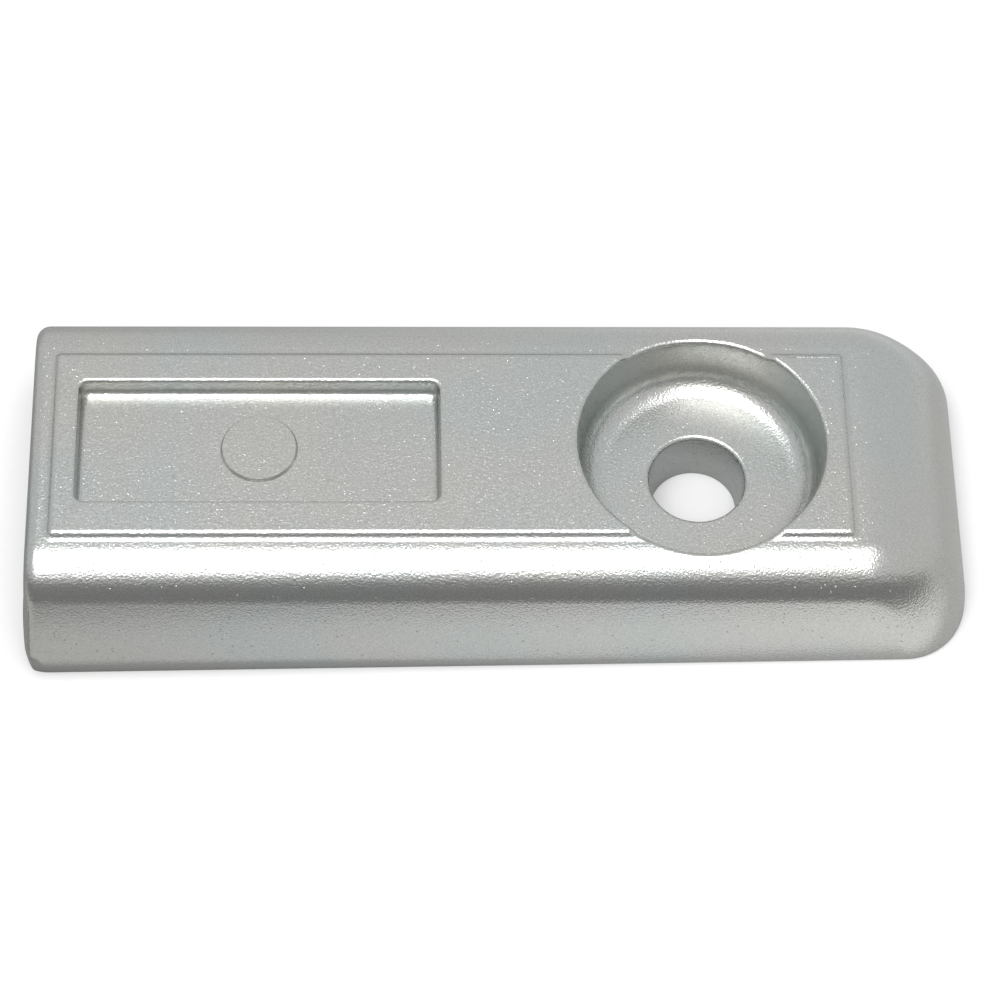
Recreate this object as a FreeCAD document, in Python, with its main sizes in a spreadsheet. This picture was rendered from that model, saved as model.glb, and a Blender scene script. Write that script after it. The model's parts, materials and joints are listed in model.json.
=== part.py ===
"""A die-cast bar anode with one bolt seat, as a parametric document.

The bar lies along X, with its nose at +X, and Z points away from the face that is bolted on. The origin is
where the bolt hole's axis meets that mounting face. Millimetres and degrees.

The casting is drawn in the frame of its die, with the parting line in the plane z = 0 and the bolt hole along
the z axis. The mounting face is not parallel to the parting line, so the finished casting is tilted by the
angle between the two and then stands flat on its mounting face.
"""
import FreeCAD, Part
import math
import os
import Sketcher

# Driving sizes: name, value, meaning
SIZES = [
    ("length", 95.0, "along the bar at the parting line"),
    ("width", 36.2, "across the bar at the parting line"),
    ("bore_to_nose", 27.1, "from the bolt hole's axis to the tip of the nose"),
    ("ledge_height", 11.4, "from the parting line up to the ledge round the panel, and the nose's radius"),
    ("side_draft", 13.2, "lean of the long walls above the parting line, degrees"),
    ("end_draft", 3.0, "lean of the square end above the parting line, degrees"),
    ("edge_round", 5.0, "radius of the two long top edges"),
    ("shoulder_round", 7.5, "radius of the nose's corners at the nose's shoulder, where they are roundest"),
    ("shoulder_angle", 45.0, "how far up the nose's arc the shoulder lies, degrees from the parting line"),
    ("corner_round", 6.3, "radius of the nose's corners at the parting line"),
    ("end_round", 1.4, "radius of the edges round the square end"),
    ("under_draft", 5.0, "lean of the walls below the parting line, degrees"),
    ("mounting_angle", 1.93, "between the mounting face and the parting line, degrees"),
    ("strip_at_nose", 0.45, "what is left below the parting line at the nose"),
    ("panel_rise", 0.6, "height of the raised panel above its ledge"),
    ("panel_slope", 42.0, "lean of the panel's low step, degrees from upright"),
    ("panel_corner", 0.7, "radius of the panel's corners"),
    ("panel_round", 0.6, "radius along the top of the panel's step"),
    ("panel_foot", 0.75, "radius along the foot of the panel's step"),
    ("panel_off_centre", 0.1, "how far the panel lies to the front"),
    ("side_ledge", 0.2, "flat ledge between the panel's foot and the long rounds"),
    ("nose_ledge", 0.41, "flat ledge between the panel's foot and the nose"),
    ("end_ledge", 0.37, "flat ledge between the panel's foot and the round at the square end"),
    ("recess_to_bore", 26.3, "from the recess's near end to the bolt hole's axis"),
    ("recess_end_margin", 2.66, "from the recess's far end to the bottom of the panel's step"),
    ("recess_side_margin", 3.88, "from the recess's long sides to the bottom of the panel's step"),
    ("recess_off_centre", 0.15, "how far the recess lies to the rear"),
    ("recess_depth", 2.0, "below the panel"),
    ("recess_draft", 8.0, "lean of the recess's walls, degrees"),
    ("recess_corner", 1.0, "radius of the recess's corners"),
    ("recess_foot", 0.65, "radius round the recess's floor"),
    ("recess_rim", 0.4, "radius round the recess's upper edge"),
    ("mark_diameter", 7.8, "round mark that the ejector pin leaves on the recess's floor"),
    ("mark_rise", 0.3, "height of that mark"),
    ("mark_slope", 35.0, "lean of its edge, degrees from upright"),
    ("mark_off_centre", 0.3, "how far the mark lies to the rear"),
    ("seat_diameter", 25.0, "bolt seat at the panel"),
    ("seat_depth", 7.3, "of the bolt seat, below the panel"),
    ("seat_draft", 5.0, "lean of the seat's wall, degrees"),
    ("seat_foot", 2.8, "radius round the seat's floor"),
    ("seat_rim", 0.45, "radius round the seat's upper edge"),
    ("bore_mouth", 9.9, "diameter of the bolt hole where it leaves the seat"),
    ("bore_diameter", 8.8, "diameter of the bolt hole's straight stretch"),
    ("bore_land", 2.6, "length of that straight stretch"),
    ("bore_rim", 0.45, "radius round the hole's upper edge"),
]

# Places worked out from the sizes, as expressions in the document
LEFT = "(Sizes.bore_to_nose - Sizes.length)"
LEDGE_HALF_WIDTH = "(Sizes.width / 2 - Sizes.ledge_height * tan(Sizes.side_draft))"
LEDGE_LEFT = f"({LEFT} + Sizes.ledge_height * tan(Sizes.end_draft))"
NOSE_START = "(Sizes.bore_to_nose - Sizes.ledge_height)"
SHOULDER_PLACE = f"({NOSE_START} + Sizes.ledge_height * cos(Sizes.shoulder_angle))"
SHOULDER_HEIGHT = "(Sizes.ledge_height * sin(Sizes.shoulder_angle))"
PANEL_TOP = "(Sizes.ledge_height + Sizes.panel_rise)"
FOOT_RUN = "Sizes.panel_foot * tan(45 - Sizes.panel_slope / 2)"
PANEL_HALF_WIDTH = (f"({LEDGE_HALF_WIDTH} - Sizes.edge_round * tan(45 - Sizes.side_draft / 2)"
                    f" - Sizes.side_ledge - {FOOT_RUN})")
PANEL_LEFT = (f"({LEDGE_LEFT} + Sizes.end_round * tan(45 - Sizes.end_draft / 2)"
              f" + Sizes.end_ledge + {FOOT_RUN})")
PANEL_RIGHT = f"({NOSE_START} - Sizes.nose_ledge - {FOOT_RUN})"
RECESS_RIGHT = "(-Sizes.recess_to_bore)"
RECESS_LEFT = f"({PANEL_LEFT} + Sizes.recess_end_margin)"
RECESS_MIDDLE = f"(({RECESS_LEFT} + {RECESS_RIGHT}) / 2)"
RECESS_HALF_WIDTH = f"({PANEL_HALF_WIDTH} - Sizes.recess_side_margin)"
RECESS_FLOOR = f"({PANEL_TOP} - Sizes.recess_depth)"
SEAT_FLOOR = f"({PANEL_TOP} - Sizes.seat_depth)"
STRIP_AT_BORE = "(Sizes.strip_at_nose + Sizes.bore_to_nose * tan(Sizes.mounting_angle))"
STRIP_AT_LEFT = "(Sizes.strip_at_nose + Sizes.length * tan(Sizes.mounting_angle))"
# How far the cutting sketches reach past the metal
PAST = 5.0
# How nearly a face's direction or height has to agree when it is looked up
LEVEL = 1e-5

doc = FreeCAD.newDocument("bar_anode")
sheet = doc.addObject("Spreadsheet::Sheet", "Sizes")
for row, (alias, value, meaning) in enumerate(SIZES, 1):
    sheet.set(f"A{row}", alias)
    sheet.set(f"B{row}", str(value))
    sheet.set(f"C{row}", meaning)
    sheet.setAlias(f"B{row}", alias)
doc.recompute()


def worth(expression):
    """The number that an expression gives with the sheet's sizes."""
    return float(sheet.evalExpression(expression))


def sketch_on(body, name, role, height="0"):
    """A sketch on one of the body's own origin planes, lifted along its normal."""
    sketch = body.newObject("Sketcher::SketchObject", name)
    plane = next(item for item in body.Origin.OriginFeatures if item.Role == role)
    sketch.AttachmentSupport = [(plane, "")]
    sketch.MapMode = "FlatFace"
    sketch.setExpression("AttachmentOffset.Base.z", height)
    return sketch


def drive(sketch, name, expression, *constraint):
    """Add a dimension to a sketch and bind it to an expression."""
    index = sketch.addConstraint(Sketcher.Constraint(*constraint, worth(expression)))
    sketch.renameConstraint(index, name)
    sketch.setExpression(f"Constraints.{name}", expression)


def pin(sketch, name, line, end, across, up):
    """Hold one end of a line, 1 or 2, at a place in the sketch."""
    drive(sketch, f"{name}_across", across, "DistanceX", -1, 1, line, end)
    drive(sketch, f"{name}_up", up, "DistanceY", -1, 1, line, end)


def point(across, up):
    return FreeCAD.Vector(worth(across), worth(up), 0)


def outline(sketch, corners):
    """A closed outline of straight lines. Each corner is a pair of expressions."""
    followers = corners[1:] + corners[:1]
    lines = [sketch.addGeometry(Part.LineSegment(point(*start), point(*end)))
             for start, end in zip(corners, followers)]
    for number, (line, corner) in enumerate(zip(lines, corners)):
        sketch.addConstraint(Sketcher.Constraint("Coincident", line, 1, lines[number - 1], 2))
        pin(sketch, f"corner_{number + 1}", line, 1, *corner)


def rounded_rectangle(sketch, left, right, half_width, radius, middle="0"):
    """A rectangle with equal round corners, about a middle line along X. All of these are expressions."""
    front = f"{middle} - {half_width}"
    rear = f"{middle} + {half_width}"
    places = [(left, front), (right, front), (right, rear), (left, rear)]
    r = worth(radius)
    lines = []
    arcs = []
    for number, corner in enumerate(places):
        here = point(*corner)
        after = point(*places[(number + 1) % 4])
        along = (after - here).normalize()
        inward = FreeCAD.Vector(-along.y, along.x, 0)
        lines.append(sketch.addGeometry(Part.LineSegment(here + along * r, after - along * r)))
        turn = math.pi + number * math.pi / 2
        circle = Part.Circle(here + (along + inward) * r, FreeCAD.Vector(0, 0, 1), r)
        arcs.append(sketch.addGeometry(Part.ArcOfCircle(circle, turn, turn + math.pi / 2)))
    for number in range(4):
        sketch.addConstraint(Sketcher.Constraint("Tangent", arcs[number], 2, lines[number], 1))
        sketch.addConstraint(Sketcher.Constraint("Tangent", arcs[number], 1, lines[number - 1], 2))
    for arc in arcs[1:]:
        sketch.addConstraint(Sketcher.Constraint("Equal", arcs[0], arc))
    for front_or_rear in (lines[0], lines[2]):
        sketch.addConstraint(Sketcher.Constraint("Horizontal", front_or_rear))
    for end in (lines[1], lines[3]):
        sketch.addConstraint(Sketcher.Constraint("Vertical", end))
    drive(sketch, "radius", radius, "Radius", arcs[0])
    drive(sketch, "front", front, "DistanceY", -1, 1, lines[0], 1)
    drive(sketch, "rear", rear, "DistanceY", -1, 1, lines[2], 1)
    drive(sketch, "right", right, "DistanceX", -1, 1, lines[1], 1)
    drive(sketch, "left", left, "DistanceX", -1, 1, lines[3], 1)


def feature(body, kind, name, **settings):
    """Add a feature to a body. Texts that name a size or an expression are bound, other values are set."""
    made = body.newObject(kind, name)
    for key, value in settings.items():
        if isinstance(value, str) and "Sizes." in value:
            made.setExpression(key, value)
        else:
            setattr(made, key, value)
    doc.recompute()
    return made


def pocket_through(body, name, sketch, merge_faces=True):
    """Cut the sketch's region right through the body, to both sides."""
    before = body.Tip.Shape.Volume
    cut = feature(body, "PartDesign::Pocket", name, Profile=sketch, Type="ThroughAll", SideType="Symmetric",
                  Refine=merge_faces)
    if cut.Shape.Volume >= before:
        raise RuntimeError(f"{name} cuts nothing")
    return cut


def face_names(shape, wanted):
    return [f"Face{number}" for number, face in enumerate(shape.Faces, 1) if wanted(face)]


def edge_names(shape, wanted):
    """Names of those of the shape's edges that are in the list of edges."""
    return [f"Edge{number}" for number, edge in enumerate(shape.Edges, 1)
            if any(edge.isSame(other) for other in wanted)]


def flat_face(shape, direction, height=None):
    """The flat face whose normal is the direction, at a height along it, or the only one."""
    for face in shape.Faces:
        if face.Surface.TypeId != "Part::GeomPlane":
            continue
        if (face.normalAt(0, 0) - direction).Length > LEVEL:
            continue
        if height is None or abs(face.CenterOfMass.dot(direction) - height) < LEVEL:
            return face
    raise RuntimeError("no such flat face")


def inner_edges(face):
    """Edges of the loop inside the face's outer one."""
    return [edge for wire in face.Wires if not wire.isSame(face.OuterWire) for edge in wire.Edges]


def fillet(body, name, edges, radius):
    return feature(body, "PartDesign::Fillet", name, Base=(body.Tip, edge_names(body.Tip.Shape, edges)),
                   Radius=radius)


UP = FreeCAD.Vector(0, 0, 1)
DOWN = FreeCAD.Vector(0, 0, -1)

# The block above the parting line: its drafted section run along the bar, then cut to the quarter-round nose
# and to the square end
block = doc.addObject("PartDesign::Body", "block")
section = sketch_on(block, "cross_section", "YZ_Plane")
outline(section, [("-Sizes.width / 2", "0"), ("Sizes.width / 2", "0"),
                  (LEDGE_HALF_WIDTH, "Sizes.ledge_height"), (f"-{LEDGE_HALF_WIDTH}", "Sizes.ledge_height")])
feature(block, "PartDesign::Pad", "bar", Profile=section, SideType="Two sides", Length="Sizes.bore_to_nose",
        Length2=f"-{LEFT}")
waste = sketch_on(block, "nose_outline", "XZ_Plane")
nose_circle = Part.Circle(point(NOSE_START, "0"), UP, worth("Sizes.ledge_height"))
shoulder = math.radians(worth("Sizes.shoulder_angle"))
lower_arc = waste.addGeometry(Part.ArcOfCircle(nose_circle, 0, shoulder))
upper_arc = waste.addGeometry(Part.ArcOfCircle(nose_circle, shoulder, math.pi / 2))
waste_top = waste.addGeometry(Part.LineSegment(point(NOSE_START, "Sizes.ledge_height"),
                                               point("Sizes.bore_to_nose", "Sizes.ledge_height")))
waste_side = waste.addGeometry(Part.LineSegment(point("Sizes.bore_to_nose", "Sizes.ledge_height"),
                                                point("Sizes.bore_to_nose", "0")))
waste.addConstraint(Sketcher.Constraint("Coincident", lower_arc, 2, upper_arc, 1))
waste.addConstraint(Sketcher.Constraint("Coincident", upper_arc, 2, waste_top, 1))
waste.addConstraint(Sketcher.Constraint("Coincident", waste_top, 2, waste_side, 1))
waste.addConstraint(Sketcher.Constraint("Coincident", waste_side, 2, lower_arc, 1))
waste.addConstraint(Sketcher.Constraint("Coincident", lower_arc, 3, upper_arc, 3))
pin(waste, "centre", upper_arc, 3, NOSE_START, "0")
drive(waste, "shoulder", SHOULDER_PLACE, "DistanceX", -1, 1, upper_arc, 1)
pin(waste, "start", waste_top, 1, NOSE_START, "Sizes.ledge_height")
pin(waste, "corner", waste_side, 1, "Sizes.bore_to_nose", "Sizes.ledge_height")
waste.addConstraint(Sketcher.Constraint("PointOnObject", waste_side, 2, -1))
doc.recompute()
pocket_through(block, "nose", waste, merge_faces=False)
end_waste = sketch_on(block, "end_outline", "XZ_Plane")
outline(end_waste, [(LEFT, "0"), (LEDGE_LEFT, "Sizes.ledge_height"), (LEFT, "Sizes.ledge_height")])
doc.recompute()
pocket_through(block, "square_end", end_waste, merge_faces=False)

# The long rounds run on down the nose: they open out as far as its shoulder, then close in to the corner
# radius
sharp = block.Tip.Shape
ledge = flat_face(sharp, UP)
nose_faces = [face for face in sharp.Faces if face.Surface.TypeId == "Part::GeomCylinder"]
walls = [face for face in sharp.Faces if abs(face.normalAt(0, 0).y) > 0.5]
wall_edges = [edge for wall in walls for edge in wall.Edges]
long_edges = [edge for edge in ledge.Edges if any(edge.isSame(other) for other in wall_edges)]
nose_edges = [edge for face in nose_faces for edge in face.Edges
              if any(edge.isSame(other) for other in wall_edges)]
shoulder_height = worth(SHOULDER_HEIGHT)
upper_edges = [edge for edge in nose_edges if edge.CenterOfMass.z > shoulder_height]
lower_edges = [edge for edge in nose_edges if edge.CenterOfMass.z < shoulder_height]
edge_round = worth("Sizes.edge_round")
shoulder_round = worth("Sizes.shoulder_round")
corner_round = worth("Sizes.corner_round")
rounds = [(name, edge_round, edge_round) for name in edge_names(sharp, long_edges)]
rounds += [(name, shoulder_round, edge_round) for name in edge_names(sharp, upper_edges)]
rounds += [(name, corner_round, shoulder_round) for name in edge_names(sharp, lower_edges)]
rounded_block = doc.addObject("Part::Fillet", "rounded_block")
rounded_block.Base = block
rounded_block.Edges = [(int(name[4:]), start, end) for name, start, end in rounds]
doc.recompute()

# The casting itself, which starts from that block
casting = doc.addObject("PartDesign::Body", "anode_casting")
casting.Label = "anode_casting"
casting.BaseFeature = rounded_block
doc.recompute()
shape = casting.Tip.Shape
square_end = min((face for face in shape.Faces if face.normalAt(0, 0).x < -0.9),
                 key=lambda face: face.CenterOfMass.x)
parting_edges = flat_face(shape, DOWN).Edges
fillet(casting, "end_rounds",
       [edge for edge in square_end.Edges if not any(edge.isSame(other) for other in parting_edges)],
       "Sizes.end_round")

# Below the parting line the walls lean back in, down to the mounting face that is cut at its own angle
below = face_names(casting.Tip.Shape, lambda face: face.isSame(flat_face(casting.Tip.Shape, DOWN)))
feature(casting, "PartDesign::Pad", "strip", Profile=(casting.Tip, below), TaperAngle="-Sizes.under_draft",
        Length=f"{STRIP_AT_LEFT} + {PAST}")
under = sketch_on(casting, "under_outline", "XZ_Plane")
outline(under, [(f"{LEFT} - {PAST}", f"-{STRIP_AT_LEFT} - {PAST} * tan(Sizes.mounting_angle)"),
                (f"Sizes.bore_to_nose + {PAST}",
                 f"-Sizes.strip_at_nose + {PAST} * tan(Sizes.mounting_angle)"),
                (f"Sizes.bore_to_nose + {PAST}", f"-{STRIP_AT_LEFT} - {2 * PAST}"),
                (f"{LEFT} - {PAST}", f"-{STRIP_AT_LEFT} - {2 * PAST}")])
doc.recompute()
pocket_through(casting, "mounting_face", under)

# The raised panel, where the top of the die was let in: a low soft step with a ledge all round
panel_sketch = sketch_on(casting, "panel_outline", "XY_Plane", "Sizes.ledge_height")
rounded_rectangle(panel_sketch, PANEL_LEFT, PANEL_RIGHT, PANEL_HALF_WIDTH, "Sizes.panel_corner",
                  middle="-Sizes.panel_off_centre")
doc.recompute()
feature(casting, "PartDesign::Pad", "panel", Profile=panel_sketch, Length="Sizes.panel_rise",
        TaperAngle="-Sizes.panel_slope")
panel_top = worth(PANEL_TOP)
fillet(casting, "panel_edge", flat_face(casting.Tip.Shape, UP, panel_top).Edges, "Sizes.panel_round")
fillet(casting, "panel_foot", inner_edges(flat_face(casting.Tip.Shape, UP, worth("Sizes.ledge_height"))),
       "Sizes.panel_foot")

# The shallow recess and the ejector's round mark on its floor
recess_sketch = sketch_on(casting, "recess_outline", "XY_Plane", PANEL_TOP)
rounded_rectangle(recess_sketch, RECESS_LEFT, RECESS_RIGHT, RECESS_HALF_WIDTH, "Sizes.recess_corner",
                  middle="Sizes.recess_off_centre")
doc.recompute()
feature(casting, "PartDesign::Pocket", "recess", Profile=recess_sketch, Length="Sizes.recess_depth",
        TaperAngle="-Sizes.recess_draft")
recess_floor = worth(RECESS_FLOOR)
fillet(casting, "recess_foot", flat_face(casting.Tip.Shape, UP, recess_floor).Edges, "Sizes.recess_foot")
fillet(casting, "recess_rim", inner_edges(flat_face(casting.Tip.Shape, UP, panel_top)), "Sizes.recess_rim")
mark_sketch = sketch_on(casting, "mark_outline", "XY_Plane", RECESS_FLOOR)
mark = mark_sketch.addGeometry(Part.Circle(point(RECESS_MIDDLE, "Sizes.mark_off_centre"), UP,
                                           worth("Sizes.mark_diameter / 2")))
pin(mark_sketch, "centre", mark, 3, RECESS_MIDDLE, "Sizes.mark_off_centre")
drive(mark_sketch, "diameter", "Sizes.mark_diameter", "Diameter", mark)
doc.recompute()
feature(casting, "PartDesign::Pad", "ejector_mark", Profile=mark_sketch, Length="Sizes.mark_rise",
        TaperAngle="-Sizes.mark_slope")

# The bolt seat and its hole, turned as one profile about the hole's axis: drafted seat wall, seat floor,
# tapered hole and the straight stretch above the mounting face
seat_sketch = sketch_on(casting, "seat_profile", "XZ_Plane")
wall_run = "tan(Sizes.seat_draft)"
outline(seat_sketch, [("0", f"{PANEL_TOP} + {PAST}"),
                      (f"Sizes.seat_diameter / 2 + {PAST} * {wall_run}", f"{PANEL_TOP} + {PAST}"),
                      (f"Sizes.seat_diameter / 2 - Sizes.seat_depth * {wall_run}", SEAT_FLOOR),
                      ("Sizes.bore_mouth / 2", SEAT_FLOOR),
                      ("Sizes.bore_diameter / 2", f"Sizes.bore_land - {STRIP_AT_BORE}"),
                      ("Sizes.bore_diameter / 2", f"-{STRIP_AT_BORE} - {PAST}"),
                      ("0", f"-{STRIP_AT_BORE} - {PAST}")])
doc.recompute()
solid_volume = casting.Tip.Shape.Volume
feature(casting, "PartDesign::Groove", "seat_and_bore", Profile=seat_sketch,
        ReferenceAxis=(seat_sketch, ["V_Axis"]), Angle=360.0)
if casting.Tip.Shape.Volume >= solid_volume:
    raise RuntimeError("the seat cuts nothing")
seat_floor = worth(SEAT_FLOOR)
fillet(casting, "seat_foot", flat_face(casting.Tip.Shape, UP, seat_floor).OuterWire.Edges, "Sizes.seat_foot")
fillet(casting, "bore_rim", inner_edges(flat_face(casting.Tip.Shape, UP, seat_floor)), "Sizes.bore_rim")

# The seat is wider than the panel, so its rim runs over the panel's step and into both long rounds
seat_wall = max((face for face in casting.Tip.Shape.Faces if face.Surface.TypeId == "Part::GeomCone"
                 and math.hypot(face.CenterOfMass.x, face.CenterOfMass.y) < 1.0), key=lambda face: face.Area)
fillet(casting, "seat_rim", [edge for edge in seat_wall.Edges if edge.Curve.TypeId != "Part::GeomLine"
                             and edge.CenterOfMass.z > seat_wall.CenterOfMass.z], "Sizes.seat_rim")

# Set the casting down on its mounting face, with the origin in the middle of the bolt hole's lower end
casting.Placement.Rotation = FreeCAD.Rotation(FreeCAD.Vector(0, 1, 0), worth("Sizes.mounting_angle"))
casting.setExpression("Placement.Rotation.Angle", "Sizes.mounting_angle")
casting.setExpression("Placement.Base.x", f"{STRIP_AT_BORE} * sin(Sizes.mounting_angle)")
casting.setExpression("Placement.Base.z", f"{STRIP_AT_BORE} * cos(Sizes.mounting_angle)")
doc.recompute()

for item in doc.Objects:
    if "Invalid" in item.State or "Error" in item.State:
        raise RuntimeError(f"{item.Name} failed: {item.State}")
if casting.Shape.isNull() or not casting.Shape.isValid() or len(casting.Shape.Solids) != 1:
    raise RuntimeError("the casting is not one valid solid")

os.makedirs("parts", exist_ok=True)
casting.Shape.exportStep(f"parts/{casting.Label}.step")
box = casting.Shape.optimalBoundingBox(False, False)
print(casting.Label, "volume", round(casting.Shape.Volume, 1), "box",
      [round(v, 3) for v in (box.XMin, box.YMin, box.ZMin, box.XMax, box.YMax, box.ZMax)])
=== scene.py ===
"""Looks of a die-cast bar anode: the casting and its skin, in a plain pale studio. Metres and radians."""

import json
import math

import bmesh
import bpy
from mathutils import Matrix, Vector

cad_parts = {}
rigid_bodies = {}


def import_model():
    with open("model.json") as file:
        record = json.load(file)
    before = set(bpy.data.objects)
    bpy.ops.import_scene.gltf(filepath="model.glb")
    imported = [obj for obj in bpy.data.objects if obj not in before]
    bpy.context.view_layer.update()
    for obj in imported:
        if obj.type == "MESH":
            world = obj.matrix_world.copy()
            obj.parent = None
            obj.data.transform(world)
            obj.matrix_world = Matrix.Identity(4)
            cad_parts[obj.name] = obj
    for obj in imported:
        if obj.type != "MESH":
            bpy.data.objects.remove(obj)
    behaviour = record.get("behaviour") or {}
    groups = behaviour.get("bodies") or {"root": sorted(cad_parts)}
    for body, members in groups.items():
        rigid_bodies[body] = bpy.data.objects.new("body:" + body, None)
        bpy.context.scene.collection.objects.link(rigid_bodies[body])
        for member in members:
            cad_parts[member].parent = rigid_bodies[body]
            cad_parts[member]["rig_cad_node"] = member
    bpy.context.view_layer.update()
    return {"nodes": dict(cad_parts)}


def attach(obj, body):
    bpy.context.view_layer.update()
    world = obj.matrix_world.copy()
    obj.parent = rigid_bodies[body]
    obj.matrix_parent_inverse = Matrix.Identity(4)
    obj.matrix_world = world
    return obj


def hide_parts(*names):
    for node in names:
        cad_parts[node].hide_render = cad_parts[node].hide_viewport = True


bl_info = {
    "name": "Bar anode",
    "version": (1, 0, 0),
    "blender": (4, 5, 0),
    "location": "3D View > Sidebar > Anode",
    "description": "A die-cast bar anode with one bolt seat, in a plain studio",
    "category": "Object",
}

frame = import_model()
MM = 0.001
# Corner attribute that carries the smooth normals while the mesh is refined
CORNER_NORMALS = "corner_normals"
# Points closer than this are the same point
SAME_POINT = 1e-6
# Fine steps in which places are compared, per metre
PLACE_STEPS = 1e8
# Noise values at which the metal is fully cool or warm, and at which a grain is darkest or lightest
PATCH_RANGE = (0.36, 0.64)
TONE_RANGE = (0.25, 0.75)
# Tone varies over shorter distances than height does
TONE_FINENESS = 1.4
# A bead's flat top and its outer edge, as shares of the beads' spacing
BEAD_PROFILE = (0.06, 0.24)
# Beads come in clouds: how much wider these are than the spacing, where they start and end, and the share of
# places with a bead outside and inside them
CLOUD_WIDTH = 1 / 0.12
CLOUD_RANGE = (0.4, 0.7)
BEAD_SHARE = (0.02, 0.4)
# Stretches of the floor over which painted light and shade change its reflected grey: painted light along the
# bar, painted shade by the part's foot in front of it, and painted light behind it
PAINTED_LIGHT_ALONG_BAR = (-70 * MM, 30 * MM)
PAINTED_SHADE_BY_THE_FOOT = (-20.6 * MM, -19.4 * MM)
PAINTED_LIGHT_BEHIND_BAR = (20 * MM, 60 * MM)
# The floor lies this far under the mounting face
FLOOR_GAP = 0.01 * MM
SENSOR_WIDTH = 36.0
NEAREST_SEEN = 0.01


class CastSkin(bpy.types.PropertyGroup):
    """How finely the casting's skin is meshed"""

    longest_edge: bpy.props.FloatProperty(
        name="Longest edge", description="Longer edges of the casting's mesh are halved",
        default=1.8 * MM, unit="LENGTH", precision=5)
    crease_angle: bpy.props.FloatProperty(
        name="Crease angle", description="Faces that meet at more than this angle keep a sharp edge",
        default=math.radians(28), subtype="ANGLE")


class CastMetal(bpy.types.PropertyGroup):
    """Finish of the bare cast metal"""

    colour: bpy.props.FloatVectorProperty(
        name="Metal", description="Colour of the bare metal",
        subtype="COLOR", size=3, min=0, max=1, default=(0.55, 0.56, 0.545))
    cool_tint: bpy.props.FloatVectorProperty(
        name="Cool tint", description="Colour of the faint cool patches",
        subtype="COLOR", size=3, min=0, max=1, default=(0.53, 0.56, 0.545))
    warm_tint: bpy.props.FloatVectorProperty(
        name="Warm tint", description="Colour of the faint warm patches",
        subtype="COLOR", size=3, min=0, max=1, default=(0.56, 0.56, 0.535))
    roughness: bpy.props.FloatProperty(
        name="Roughness", description="Roughness of the metal between its grains",
        subtype="FACTOR", min=0, max=1, default=0.24)
    grain_size: bpy.props.FloatProperty(
        name="Grain size", description="Width of the fine grains of the cast skin",
        default=0.24 * MM, unit="LENGTH", precision=5)
    grain_height: bpy.props.FloatProperty(
        name="Grain height", description="Height of those grains",
        default=0.045 * MM, unit="LENGTH", precision=6)
    grain_tone: bpy.props.FloatProperty(
        name="Grain tone", description="How much lighter or darker single grains are",
        subtype="FACTOR", min=0, max=1, default=0.12)
    bead_size: bpy.props.FloatProperty(
        name="Bead size", description="Spacing of the places where a raised bead of metal can sit",
        default=0.5 * MM, unit="LENGTH", precision=5)
    bead_height: bpy.props.FloatProperty(
        name="Bead height", description="Height of those beads",
        default=0.035 * MM, unit="LENGTH", precision=6)
    patch_size: bpy.props.FloatProperty(
        name="Patch size", description="Width of the faint patches of colour",
        default=16.0 * MM, unit="LENGTH", precision=5)


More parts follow.
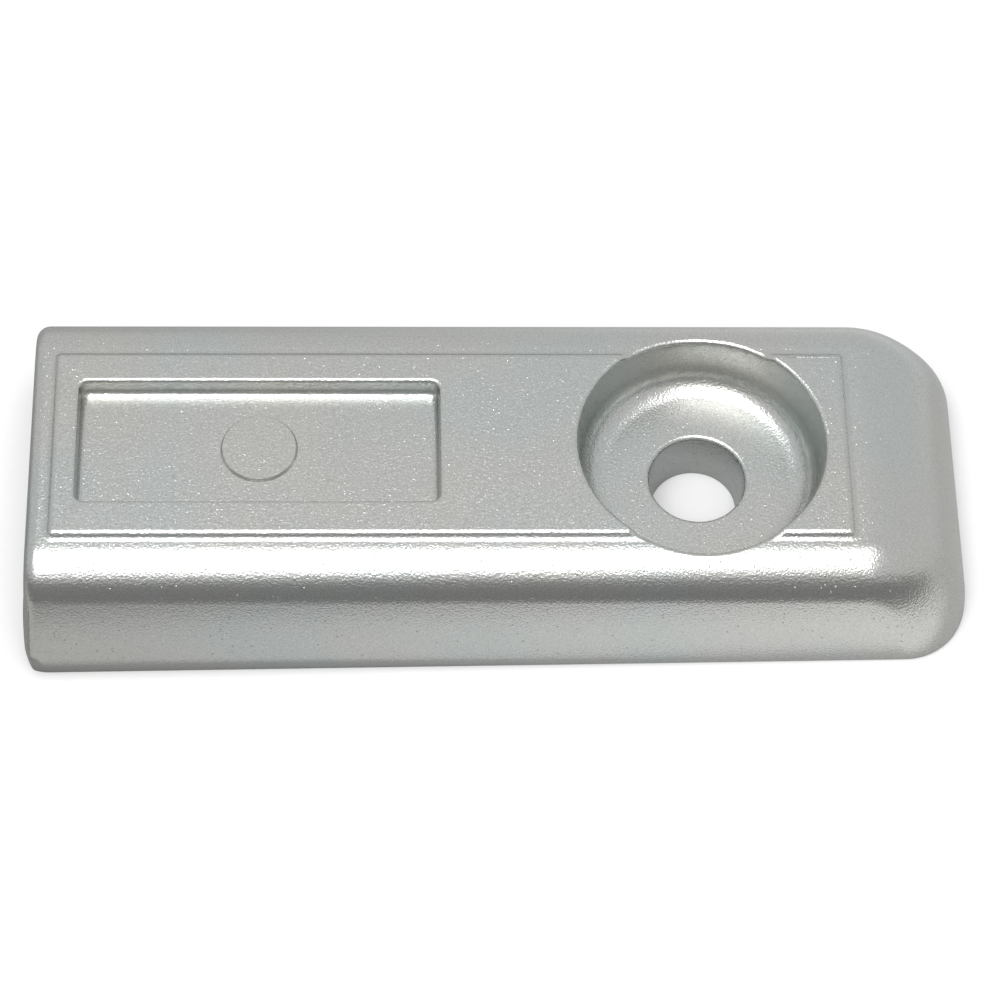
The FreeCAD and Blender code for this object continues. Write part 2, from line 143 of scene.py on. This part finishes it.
class Studio(bpy.types.PropertyGroup):
    """Floor, lamp and dark card round the part"""

    room_light: bpy.props.FloatProperty(
        name="Room light", description="Brightness of the white room", min=0, default=0.75)
    lamp_brightness: bpy.props.FloatProperty(
        name="Lamp brightness", description="Brightness of the soft lamp's face", min=0, default=4.2)
    lamp_height: bpy.props.FloatProperty(
        name="Lamp height", description="Height of the soft lamp over the floor", default=0.55, unit="LENGTH")
    lamp_left: bpy.props.FloatProperty(
        name="Lamp left", description="Place of the lamp's left end", default=-0.26, unit="LENGTH")
    lamp_right: bpy.props.FloatProperty(
        name="Lamp right", description="Place of the lamp's right end", default=0.13, unit="LENGTH")
    lamp_front: bpy.props.FloatProperty(
        name="Lamp front", description="Angle over the rear horizon of the lamp's front edge",
        default=math.radians(125.5), subtype="ANGLE")
    lamp_rear: bpy.props.FloatProperty(
        name="Lamp rear", description="Angle over the rear horizon of the lamp's rear edge",
        default=math.radians(80), subtype="ANGLE")
    card_foot: bpy.props.FloatProperty(
        name="Card foot", description="From the bar's middle to the foot of the leaning dark card in front",
        default=0.0305, unit="LENGTH")
    card_distance: bpy.props.FloatProperty(
        name="Card distance", description="From the bar's middle to the card's top edge, along the floor",
        default=0.5, unit="LENGTH")
    card_top: bpy.props.FloatProperty(
        name="Card top", description="Angle of the card's top over the front horizon",
        default=math.radians(34), subtype="ANGLE")
    card_left: bpy.props.FloatProperty(
        name="Card left", description="Place of the card's left end", default=-0.55, unit="LENGTH")
    card_right: bpy.props.FloatProperty(
        name="Card right", description="Place of the card's right end", default=0.35, unit="LENGTH")
    card_grey: bpy.props.FloatProperty(
        name="Card grey", description="Grey of the dark card", subtype="FACTOR", min=0, max=1, default=0.23)
    floor_seen: bpy.props.FloatProperty(
        name="Floor as seen", description="Grey of the pale floor behind the part", subtype="FACTOR",
        min=0, max=1, default=0.8)
    # Painted light: in the metal's reflections the floor's grey runs from darker by the square end to lighter
    # by the nose, in place of light that falls unevenly
    floor_left_painted_light: bpy.props.FloatProperty(
        name="Floor left", description="Grey of the floor in the metal's reflections, by the square end",
        subtype="FACTOR", min=0, max=1, default=0.48)
    floor_right_painted_light: bpy.props.FloatProperty(
        name="Floor right", description="Grey of the floor in the metal's reflections, by the nose",
        subtype="FACTOR", min=0, max=1, default=0.8)
    # Painted light: the floor is made brighter in the metal's reflections behind the part
    floor_rear_painted_light: bpy.props.FloatProperty(
        name="Floor behind", description="How much brighter the floor is in reflections behind the part",
        min=0, default=1.5)
    # Painted shade: the floor is made darker in the metal's reflections close to the part's foot
    painted_contact_shade: bpy.props.FloatProperty(
        name="Contact shade", description="How much of the floor's brightness is left close to the part",
        subtype="FACTOR", min=0, max=1, default=0.6)
    floor_size: bpy.props.FloatProperty(
        name="Floor size", description="Width of the floor", default=6.0, unit="LENGTH")


class Camera(bpy.types.PropertyGroup):
    """Where the part is seen from"""

    lens: bpy.props.FloatProperty(
        name="Lens", description="Focal length in millimetres on a sensor 36 wide", default=130.03)
    azimuth: bpy.props.FloatProperty(
        name="Azimuth", description="Direction of view, from the one straight to the rear",
        default=math.radians(0.532), subtype="ANGLE")
    elevation: bpy.props.FloatProperty(
        name="Elevation", description="How far the camera looks down",
        default=math.radians(59.050), subtype="ANGLE")
    roll: bpy.props.FloatProperty(
        name="Roll", description="Turn of the camera about its line of view",
        default=math.radians(-0.563), subtype="ANGLE")
    distance: bpy.props.FloatProperty(
        name="Distance", description="From the camera to the point it looks at",
        default=0.35939, unit="LENGTH")
    target: bpy.props.FloatVectorProperty(
        name="Target", description="Point in the middle of the view", subtype="TRANSLATION", size=3,
        default=(-0.01997, -0.00625, 0.013))


def node(tree, kind, inputs=None, **settings):
    """Add a shader node. Inputs are values or other nodes' outputs, by the name or number of their socket."""
    made = tree.nodes.new(kind)
    for key, value in settings.items():
        setattr(made, key, value)
    for key, value in (inputs or {}).items():
        if isinstance(value, bpy.types.NodeSocket):
            tree.links.new(value, made.inputs[key])
        else:
            made.inputs[key].default_value = value
    return made


def new_material(name):
    """An empty node material and its tree."""
    material = bpy.data.materials.new(name)
    material.use_nodes = True
    material.node_tree.nodes.clear()
    return material, material.node_tree


def colour(rgb):
    return (*rgb, 1.0)


def tinted_metal(tree, place, finish):
    """The metal's colour, with faint cool and warm patches and slightly lighter and darker grains."""
    patches = node(tree, "ShaderNodeTexNoise",
                   {"Vector": place, "Scale": 1 / finish.patch_size, "Detail": 2.0})
    tones = node(tree, "ShaderNodeValToRGB", {"Fac": patches.outputs["Fac"]})
    ramp = tones.color_ramp
    ramp.elements[0].position = PATCH_RANGE[0]
    ramp.elements[0].color = colour(finish.cool_tint)
    ramp.elements[1].position = PATCH_RANGE[1]
    ramp.elements[1].color = colour(finish.warm_tint)
    ramp.elements.new(0.5).color = colour(finish.colour)
    grain = node(tree, "ShaderNodeTexNoise",
                 {"Vector": place, "Scale": TONE_FINENESS / finish.grain_size, "Detail": 1.0})
    tone = node(tree, "ShaderNodeMapRange",
                {"Value": grain.outputs["Fac"], "From Min": TONE_RANGE[0], "From Max": TONE_RANGE[1],
                 "To Min": 1 - finish.grain_tone, "To Max": 1 + finish.grain_tone})
    return node(tree, "ShaderNodeVectorMath", {0: tones.outputs["Color"], "Scale": tone.outputs["Result"]},
                operation="SCALE").outputs["Vector"]


def skin_relief(tree, place, finish):
    """Height of the cast skin in metres: fine grains everywhere and scattered beads in some places."""
    grain = node(tree, "ShaderNodeTexNoise",
                 {"Vector": place, "Scale": 1 / finish.grain_size, "Detail": 2.0, "Roughness": 0.55})
    beads = node(tree, "ShaderNodeTexVoronoi", {"Vector": place, "Scale": 1 / finish.bead_size})
    bead = node(tree, "ShaderNodeMapRange",
                {"Value": beads.outputs["Distance"], "From Min": BEAD_PROFILE[0], "From Max": BEAD_PROFILE[1],
                 "To Min": 1.0, "To Max": 0.0}, interpolation_type="SMOOTHSTEP")
    chosen = node(tree, "ShaderNodeSeparateColor", {"Color": beads.outputs["Color"]})
    clouds = node(tree, "ShaderNodeTexNoise",
                  {"Vector": place, "Scale": 1 / (CLOUD_WIDTH * finish.bead_size), "Detail": 2.0})
    share = node(tree, "ShaderNodeMapRange",
                 {"Value": clouds.outputs["Fac"], "From Min": CLOUD_RANGE[0], "From Max": CLOUD_RANGE[1],
                  "To Min": BEAD_SHARE[0], "To Max": BEAD_SHARE[1]})
    there = node(tree, "ShaderNodeMath", {0: chosen.outputs["Red"], 1: share.outputs["Result"]},
                 operation="LESS_THAN")
    raised = node(tree, "ShaderNodeMath", {0: bead.outputs["Result"], 1: there.outputs[0]},
                  operation="MULTIPLY")
    beads_up = node(tree, "ShaderNodeMath", {0: raised.outputs[0], 1: finish.bead_height},
                    operation="MULTIPLY")
    return node(tree, "ShaderNodeMath",
                {0: grain.outputs["Fac"], 1: finish.grain_height, 2: beads_up.outputs[0]},
                operation="MULTIPLY_ADD").outputs[0]


def cast_metal(finish):
    """Bare die-cast metal: a fine grain, scattered beads and faint patches of colour."""
    material, tree = new_material("cast_metal")
    place = node(tree, "ShaderNodeTexCoord").outputs["Object"]
    bump = node(tree, "ShaderNodeBump", {"Height": skin_relief(tree, place, finish), "Distance": 1.0})
    shader = node(tree, "ShaderNodeBsdfPrincipled",
                  {"Base Color": tinted_metal(tree, place, finish), "Metallic": 1.0,
                   "Roughness": finish.roughness, "Normal": bump.outputs["Normal"]})
    node(tree, "ShaderNodeOutputMaterial", {"Surface": shader.outputs["BSDF"]})
    return material


def keep_corner_normals(mesh):
    """Write the mesh's corner normals into a corner attribute of the same name as the layer."""
    kept = mesh.attributes.new(CORNER_NORMALS, "FLOAT_VECTOR", "CORNER")
    values = [0.0] * (3 * len(mesh.loops))
    mesh.corner_normals.foreach_get("vector", values)
    kept.data.foreach_set("vector", values)


def curved_lift(edge, layer):
    """How far the middle of a curved surface's edge lies from the middle of its chord."""
    if not edge.smooth or len(edge.link_loops) != 2:
        return Vector()
    corner = edge.link_loops[0]
    start = corner[layer].normalized()
    end = corner.link_loop_next[layer].normalized()
    chord = corner.link_loop_next.vert.co - corner.vert.co
    return (end * chord.dot(end) - start * chord.dot(start)) / 8


def place_key(place):
    """A place in whole steps, so that the same point is found again."""
    return tuple(round(value * PLACE_STEPS) for value in place)


def split_long_edges(solid, longest):
    """Halve the long edges until none is longer than this, each new point lifted on to the curved surface."""
    layer = solid.loops.layers.float_vector[CORNER_NORMALS]
    while True:
        too_long = [edge for edge in solid.edges if edge.calc_length() > longest]
        if not too_long:
            return
        lifts = {}
        for edge in too_long:
            middle = (edge.verts[0].co + edge.verts[1].co) / 2
            lifts[place_key(middle)] = curved_lift(edge, layer)
        made = bmesh.ops.subdivide_edges(solid, edges=too_long, cuts=1)
        for item in made["geom_inner"]:
            if isinstance(item, bmesh.types.BMVert):
                item.co += lifts.get(place_key(item.co), Vector())
        many_sided = [face for face in solid.faces if len(face.verts) > 3]
        bmesh.ops.triangulate(solid, faces=many_sided, quad_method="SHORT_EDGE", ngon_method="BEAUTY")


class ANODE_OT_casting(bpy.types.Operator):
    """Dress the casting: a finely meshed copy of it with a bare cast-metal finish"""

    bl_idname = "anode.casting"
    bl_label = "Casting"

    def execute(self, context):
        skin = context.scene.cast_skin
        bpy.ops.object.select_all(action="DESELECT")
        original = frame["nodes"]["anode_casting"]
        original.select_set(True)
        context.view_layer.objects.active = original
        bpy.ops.object.duplicate()
        casting = context.object
        casting.name = "cast_body"
        casting.data.name = "cast_body"
        casting.parent = None
        del casting["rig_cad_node"]
        bpy.ops.mesh.customdata_custom_splitnormals_clear()
        bpy.ops.object.mode_set(mode="EDIT")
        bpy.ops.mesh.select_all(action="SELECT")
        bpy.ops.mesh.remove_doubles(threshold=SAME_POINT)
        bpy.ops.object.mode_set(mode="OBJECT")
        bpy.ops.object.shade_smooth_by_angle(angle=skin.crease_angle)
        flats_first = casting.modifiers.new("Flats first", "WEIGHTED_NORMAL")
        flats_first.keep_sharp = True
        bpy.ops.object.modifier_apply(modifier=flats_first.name)
        keep_corner_normals(casting.data)
        solid = bmesh.new()
        solid.from_mesh(casting.data)
        split_long_edges(solid, skin.longest_edge)
        solid.to_mesh(casting.data)
        solid.free()
        kept = casting.data.attributes[CORNER_NORMALS]
        normals = [Vector(item.vector).normalized() for item in kept.data]
        casting.data.attributes.remove(kept)
        casting.data.normals_split_custom_set(normals)
        casting.data.materials.clear()
        casting.data.materials.append(cast_metal(context.scene.cast_metal))
        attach(casting, "root")
        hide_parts("anode_casting")
        return {"FINISHED"}


class ANODE_OT_studio(bpy.types.Operator):
    """Set up the studio: a pale floor, a white room, one soft lamp overhead and a dark card in front"""

    bl_idname = "anode.studio"
    bl_label = "Studio"

    def execute(self, context):
        studio = context.scene.studio
        self.room(context.scene, studio)
        self.floor(studio)
        self.lamp(studio)
        self.card(studio)
        context.scene.view_settings.view_transform = "Standard"
        return {"FINISHED"}

    def room(self, scene, studio):
        """An evenly white room."""
        world = bpy.data.worlds.new("white_room")
        scene.world = world
        world.use_nodes = True
        background = world.node_tree.nodes["Background"]
        background.inputs["Color"].default_value = colour((1.0, 1.0, 1.0))
        background.inputs["Strength"].default_value = studio.room_light

    def floor(self, studio):
        """A wide floor just under the mounting face, evenly pale to the camera. In the metal's reflections
        its grey carries painted light and shade: darker by the square end and lighter by the nose, lighter
        behind the part and darker close to its foot.
        """
        bpy.ops.object.select_all(action="DESELECT")
        bpy.ops.mesh.primitive_plane_add(size=studio.floor_size, location=(0, 0, -FLOOR_GAP))
        floor = bpy.context.object
        floor.name = "floor"
        material, tree = new_material("pale_floor")
        rays = node(tree, "ShaderNodeLightPath")
        place = node(tree, "ShaderNodeTexCoord").outputs["Object"]
        along = node(tree, "ShaderNodeSeparateXYZ", {"Vector": place})
        # Painted light: the reflected grey runs from darker by the square end to lighter by the nose
        painted_light_along_bar = node(tree, "ShaderNodeMapRange",
                        {"Value": along.outputs["X"], "From Min": PAINTED_LIGHT_ALONG_BAR[0], "From Max": PAINTED_LIGHT_ALONG_BAR[1],
                         "To Min": studio.floor_left_painted_light, "To Max": studio.floor_right_painted_light})
        # Painted shade: the reflected grey is darkened close to the part's foot
        contact = node(tree, "ShaderNodeMapRange",
                       {"Value": along.outputs["Y"], "From Min": PAINTED_SHADE_BY_THE_FOOT[0], "From Max": PAINTED_SHADE_BY_THE_FOOT[1],
                        "To Min": 1.0, "To Max": studio.painted_contact_shade}, interpolation_type="SMOOTHSTEP")
        # Painted light: the reflected grey is made brighter behind the part
        behind = node(tree, "ShaderNodeMapRange",
                      {"Value": along.outputs["Y"], "From Min": PAINTED_LIGHT_BEHIND_BAR[0], "From Max": PAINTED_LIGHT_BEHIND_BAR[1],
                       "To Min": 1.0, "To Max": studio.floor_rear_painted_light})
        lit = node(tree, "ShaderNodeMath", {0: painted_light_along_bar.outputs["Result"], 1: behind.outputs["Result"]},
                   operation="MULTIPLY")
        painted_light_and_shade = node(tree, "ShaderNodeMath", {0: lit.outputs[0], 1: contact.outputs["Result"]},
                      operation="MULTIPLY")
        # The camera sees the evenly pale floor; the metal's reflections see the grey with painted light and
        # shade
        grey = node(tree, "ShaderNodeMapRange", {"Value": rays.outputs["Is Camera Ray"],
                                                 "To Min": painted_light_and_shade.outputs[0], "To Max": studio.floor_seen})
        paint = node(tree, "ShaderNodeBsdfDiffuse", {"Color": grey.outputs["Result"]})
        node(tree, "ShaderNodeOutputMaterial", {"Surface": paint.outputs["BSDF"]})
        floor.data.materials.append(material)

    def lamp(self, studio):
        """One soft lamp overhead, between two angles over the rear horizon."""
        front = studio.lamp_height / math.tan(studio.lamp_front)
        rear = studio.lamp_height / math.tan(studio.lamp_rear)
        middle = (studio.lamp_left + studio.lamp_right) / 2
        bpy.ops.object.light_add(type="AREA", location=(middle, (front + rear) / 2, studio.lamp_height))
        lamp = bpy.context.object
        lamp.name = "soft_lamp"
        lamp.visible_camera = False
        lamp.data.shape = "RECTANGLE"
        lamp.data.size = studio.lamp_right - studio.lamp_left
        lamp.data.size_y = rear - front
        lamp.data.energy = studio.lamp_brightness * math.pi * lamp.data.size * lamp.data.size_y

    def card(self, studio):
        """A dark card that leans away from the part in front. Only the metal's reflections show it."""
        width = studio.card_right - studio.card_left
        height = studio.card_distance * math.tan(studio.card_top)
        run = studio.card_distance - studio.card_foot
        middle = ((studio.card_left + studio.card_right) / 2, -(studio.card_foot + run / 2), height / 2 + MM)
        bpy.ops.object.select_all(action="DESELECT")
        bpy.ops.mesh.primitive_plane_add(size=1, location=middle, rotation=(-math.atan2(height, run), 0, 0))
        card = bpy.context.object
        card.name = "dark_card"
        card.scale = (width, math.hypot(height, run), 1)
        bpy.ops.object.transform_apply(location=False, rotation=True, scale=True)
        card.visible_camera = False
        card.visible_diffuse = False
        card.visible_shadow = False
        material, tree = new_material("dark_card")
        paint = node(tree, "ShaderNodeBsdfDiffuse", {"Color": colour((studio.card_grey,) * 3)})
        node(tree, "ShaderNodeOutputMaterial", {"Surface": paint.outputs["BSDF"]})
        card.data.materials.append(material)


class ANODE_OT_camera(bpy.types.Operator):
    """Place the camera"""

    bl_idname = "anode.camera"
    bl_label = "Camera"

    def execute(self, context):
        view = context.scene.part_camera
        level = math.cos(view.elevation)
        forward = Vector((math.sin(view.azimuth) * level, math.cos(view.azimuth) * level,
                          -math.sin(view.elevation)))
        turn = forward.to_track_quat("-Z", "Y").to_matrix() @ Matrix.Rotation(view.roll, 3, "Z")
        bpy.ops.object.camera_add(location=Vector(view.target) - forward * view.distance,
                                  rotation=turn.to_euler())
        camera = context.object
        camera.name = "camera"
        camera.data.lens = view.lens
        camera.data.sensor_width = SENSOR_WIDTH
        camera.data.clip_start = NEAREST_SEEN
        context.scene.camera = camera
        return {"FINISHED"}


class ANODE_PT_panel(bpy.types.Panel):
    """Lists the steps that make the part and its studio"""

    bl_idname = "ANODE_PT_panel"
    bl_label = "Bar anode"
    bl_space_type = "VIEW_3D"
    bl_region_type = "UI"
    bl_category = "Anode"

    def draw(self, context):
        for step in STEPS:
            self.layout.operator(step.bl_idname)


GROUPS = {"cast_skin": CastSkin, "cast_metal": CastMetal, "studio": Studio, "part_camera": Camera}
STEPS = (ANODE_OT_casting, ANODE_OT_studio, ANODE_OT_camera)


def register():
    for name, group in GROUPS.items():
        bpy.utils.register_class(group)
        setattr(bpy.types.Scene, name, bpy.props.PointerProperty(type=group))
    for step in (*STEPS, ANODE_PT_panel):
        bpy.utils.register_class(step)


def unregister():
    for step in (ANODE_PT_panel, *reversed(STEPS)):
        bpy.utils.unregister_class(step)
    for name, group in reversed(GROUPS.items()):
        delattr(bpy.types.Scene, name)
        bpy.utils.unregister_class(group)


def main():
    register()
    bpy.ops.anode.casting()
    bpy.ops.anode.studio()
    bpy.ops.anode.camera()


if __name__ == "__main__":
    main()
